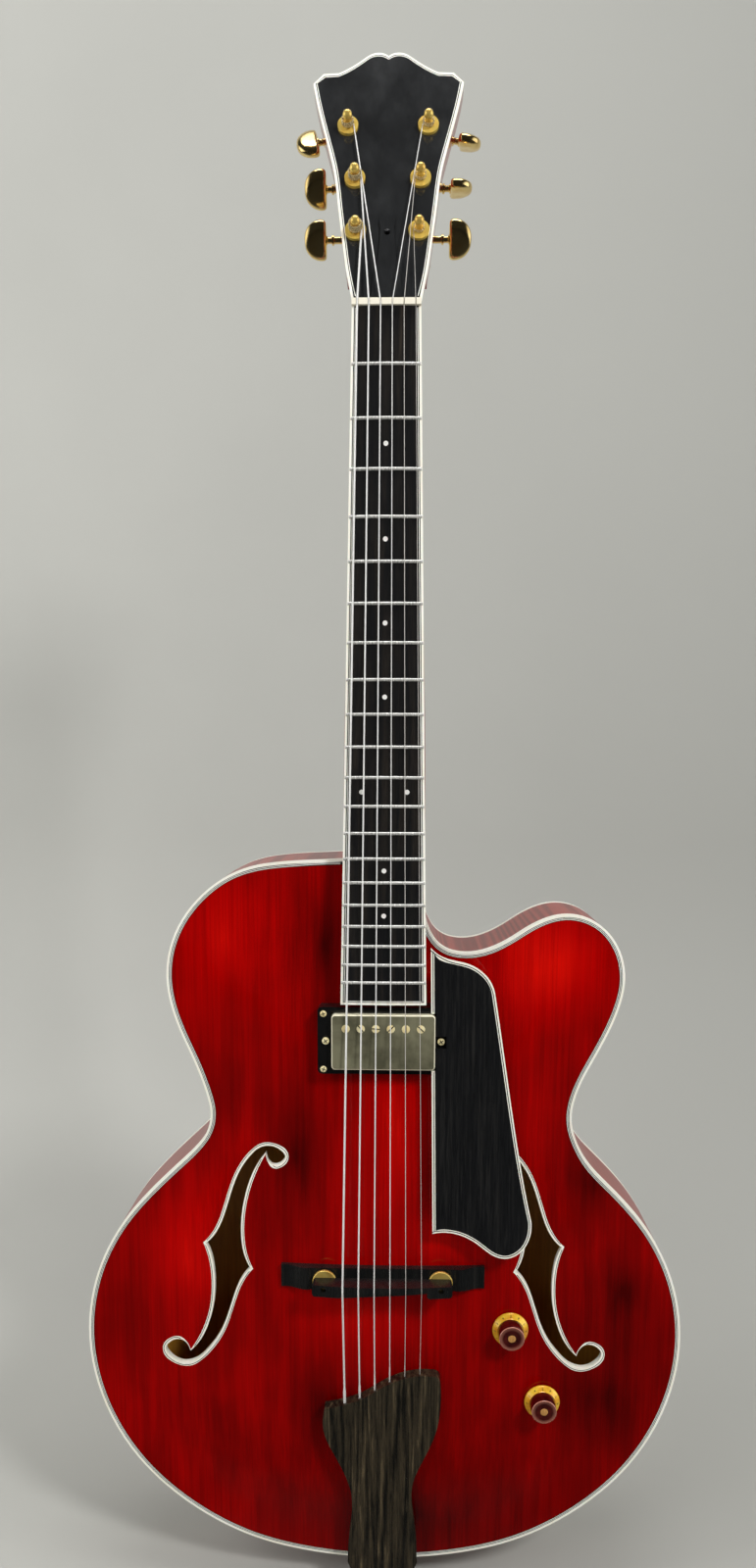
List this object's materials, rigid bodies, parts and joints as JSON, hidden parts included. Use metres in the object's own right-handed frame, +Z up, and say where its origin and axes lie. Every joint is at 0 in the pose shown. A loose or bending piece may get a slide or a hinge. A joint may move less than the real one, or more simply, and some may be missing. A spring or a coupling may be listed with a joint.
{
  "type": "archtop electric guitar",
  "caption": "Hollow archtop guitar with carved bound top, f-holes, rounded cutaway, one pickup, floating bridge and wooden tailpiece.",
  "frame": {"origin": "the nut: middle of the fingerboard's upper end, on the playing face, where a hanger takes the neck", "axes": "+Z up along the body's centre line, the rim planes are parallel to XZ, -Y is the front, +X the treble side"},
  "size_m": [0.4292, 0.1349, 1.073],
  "materials": {
    "stained_spruce": "deep red transparent stain under gloss lacquer, straight fine grain",
    "stained_maple": "dark red stain under gloss lacquer",
    "ivory_binding": "ivory, polished",
    "purfling": "black and white lines",
    "raw_spruce": "bare wood",
    "ebony": "oiled, faint brown streaks",
    "black_lacquer": "mirror gloss black",
    "bone": "polished bone",
    "pearl": "white pearl",
    "nickel_silver": "polished",
    "string_steel": "wound and plain steel",
    "gold": "gold plate, polished",
    "aged_gold": "gold plate, worn dull",
    "bare_steel": "plain",
    "coil_black": "tape-wrapped coil",
    "amber": "clear amber with pale figures",
    "gut_black": "nylon cord"
  },
  "bodies": {
    "guitar": {"top_plate": "stained_spruce", "back_plate": "stained_maple", "bass_side": "stained_maple", "treble_side": "stained_maple", "neck": "stained_maple", "top_binding": "ivory_binding", "back_binding": "ivory_binding", "f_hole_bindings": "ivory_binding", "headstock_binding": "ivory_binding", "fingerboard_binding": "ivory_binding", "pickguard_binding": "ivory_binding", "top_purfling": "purfling", "linings": "raw_spruce", "tone_bars": "raw_spruce", "neck_block": "raw_spruce", "tail_block": "raw_spruce", "fingerboard": "ebony", "bridge_base": "ebony", "tailpiece": "ebony", "pickguard": "ebony", "tail_saddle": "ebony", "pickguard_support": "ebony", "headstock_overlay": "black_lacquer", "truss_rod_cover": "black_lacquer", "pickup_ring": "black_lacquer", "nut": "bone", "position_dots": "pearl", "frets": "nickel_silver", "strings": "string_steel", "tuner_bushings": "gold", "tuner_housings": "gold", "bridge_posts": "gold", "end_pin_jack": "gold", "truss_rod": "bare_steel", "pickup_springs": "bare_steel", "control_pots": "bare_steel", "tail_gut": "gut_black"},
    "saddle": {"bridge_saddle": "ebony"},
    "bass_wheel": {"bass_thumbwheel": "gold"},
    "treble_wheel": {"treble_thumbwheel": "gold"},
    "pickup": {"pickup_cover": "aged_gold", "pickup_coils": "coil_black", "pickup_baseplate": "bare_steel", "pole_screws": "gold"},
    "bass_screw": {"bass_height_screw": "gold"},
    "treble_screw": {"treble_height_screw": "gold"},
    "volume": {"volume_knob": "amber"},
    "tone": {"tone_knob": "amber"},
    "post_1": {"tuner_post_1": "gold"},
    "key_1": {"tuner_key_1": "gold"},
    "post_2": {"tuner_post_2": "gold"},
    "key_2": {"tuner_key_2": "gold"},
    "post_3": {"tuner_post_3": "gold"},
    "key_3": {"tuner_key_3": "gold"},
    "post_4": {"tuner_post_4": "gold"},
    "key_4": {"tuner_key_4": "gold"},
    "post_5": {"tuner_post_5": "gold"},
    "key_5": {"tuner_key_5": "gold"},
    "post_6": {"tuner_post_6": "gold"},
    "key_6": {"tuner_key_6": "gold"}
  },
  "joints": [
    {"name": "saddle_height", "type": "slide", "parent": "guitar", "child": "saddle", "axis": [0, -1, 0], "range_m": [-0.0024, 0.004], "deforming": ["strings"]},
    {"name": "pickup_height", "type": "slide", "parent": "guitar", "child": "pickup", "axis": [0, -1, 0], "range_m": [-0.003, 0.002], "deforming": ["pickup_springs"]},
    {"name": "bass_wheel_turn", "type": "hinge", "parent": "saddle", "child": "bass_wheel", "pos_m": [-0.0404, -0.03156, -0.64578], "axis": [0, -1, 0], "range_deg": [-1081, 1801]},
    {"name": "treble_wheel_turn", "type": "hinge", "parent": "saddle", "child": "treble_wheel", "pos_m": [0.0404, -0.03156, -0.64578], "axis": [0, -1, 0], "range_deg": [-1081, 1801]},
    {"name": "bass_screw_turn", "type": "hinge", "parent": "guitar", "child": "bass_screw", "pos_m": [-0.0392, -0.02556, -0.47488], "axis": [0, -1, 0], "range_deg": [-1126, 1688.5]},
    {"name": "treble_screw_turn", "type": "hinge", "parent": "guitar", "child": "treble_screw", "pos_m": [0.0392, -0.02556, -0.47488], "axis": [0, -1, 0], "range_deg": [-1126, 1688.5]},
    {"name": "volume_turn", "type": "hinge", "parent": "guitar", "child": "volume", "pos_m": [0.0905, -0.02056, -0.68528], "axis": [0, -1, 0], "range_deg": [-150, 150]},
    {"name": "tone_turn", "type": "hinge", "parent": "guitar", "child": "tone", "pos_m": [0.1147, -0.02056, -0.74228], "axis": [0, -1, 0], "range_deg": [-150, 150]},
    {"name": "key_1_turn", "type": "hinge", "parent": "guitar", "child": "key_1", "pos_m": [-0.0205, 0.04029, 0.05482], "axis": [-1, 0, 0], "continuous": true},
    {"name": "post_1_turn", "type": "hinge", "parent": "guitar", "child": "post_1", "pos_m": [-0.0205, 0.0162, 0.05298], "axis": [0, -0.9563, 0.2924], "continuous": true},
    {"name": "key_2_turn", "type": "hinge", "parent": "guitar", "child": "key_2", "pos_m": [-0.0214, 0.05128, 0.09077], "axis": [-1, 0, 0], "continuous": true},
    {"name": "post_2_turn", "type": "hinge", "parent": "guitar", "child": "post_2", "pos_m": [-0.0214, 0.02719, 0.08894], "axis": [0, -0.9563, 0.2924], "continuous": true},
    {"name": "key_3_turn", "type": "hinge", "parent": "guitar", "child": "key_3", "pos_m": [-0.02793, 0.06253, 0.12756], "axis": [-0.9848, -0.0508, -0.1661], "continuous": true},
    {"name": "post_3_turn", "type": "hinge", "parent": "guitar", "child": "post_3", "pos_m": [-0.0264, 0.03848, 0.12585], "axis": [0, -0.9563, 0.2924], "continuous": true},
    {"name": "key_4_turn", "type": "hinge", "parent": "guitar", "child": "key_4", "pos_m": [0.02793, 0.06253, 0.12756], "axis": [0.9848, -0.0508, -0.1661], "continuous": true},
    {"name": "post_4_turn", "type": "hinge", "parent": "guitar", "child": "post_4", "pos_m": [0.0264, 0.03848, 0.12585], "axis": [0, -0.9563, 0.2924], "continuous": true},
    {"name": "key_5_turn", "type": "hinge", "parent": "guitar", "child": "key_5", "pos_m": [0.0214, 0.05128, 0.09077], "axis": [1, 0, 0], "continuous": true},
    {"name": "post_5_turn", "type": "hinge", "parent": "guitar", "child": "post_5", "pos_m": [0.0214, 0.02719, 0.08894], "axis": [0, -0.9563, 0.2924], "continuous": true},
    {"name": "key_6_turn", "type": "hinge", "parent": "guitar", "child": "key_6", "pos_m": [0.0205, 0.04029, 0.05482], "axis": [1, 0, 0], "continuous": true},
    {"name": "post_6_turn", "type": "hinge", "parent": "guitar", "child": "post_6", "pos_m": [0.0205, 0.0162, 0.05298], "axis": [0, -0.9563, 0.2924], "continuous": true}
  ],
  "couplings": [
    {"joint": "bass_wheel_turn", "follows": "saddle_height", "rad_per_m": 7854},
    {"joint": "treble_wheel_turn", "follows": "saddle_height", "rad_per_m": 7854},
    {"joint": "bass_screw_turn", "follows": "pickup_height", "rad_per_m": -9817.5},
    {"joint": "treble_screw_turn", "follows": "pickup_height", "rad_per_m": -9817.5},
    {"joint": "post_1_turn", "follows": "key_1_turn", "ratio": 0.066667},
    {"joint": "post_2_turn", "follows": "key_2_turn", "ratio": 0.066667},
    {"joint": "post_3_turn", "follows": "key_3_turn", "ratio": 0.066667},
    {"joint": "post_4_turn", "follows": "key_4_turn", "ratio": 0.066667},
    {"joint": "post_5_turn", "follows": "key_5_turn", "ratio": 0.066667},
    {"joint": "post_6_turn", "follows": "key_6_turn", "ratio": 0.066667}
  ]
}
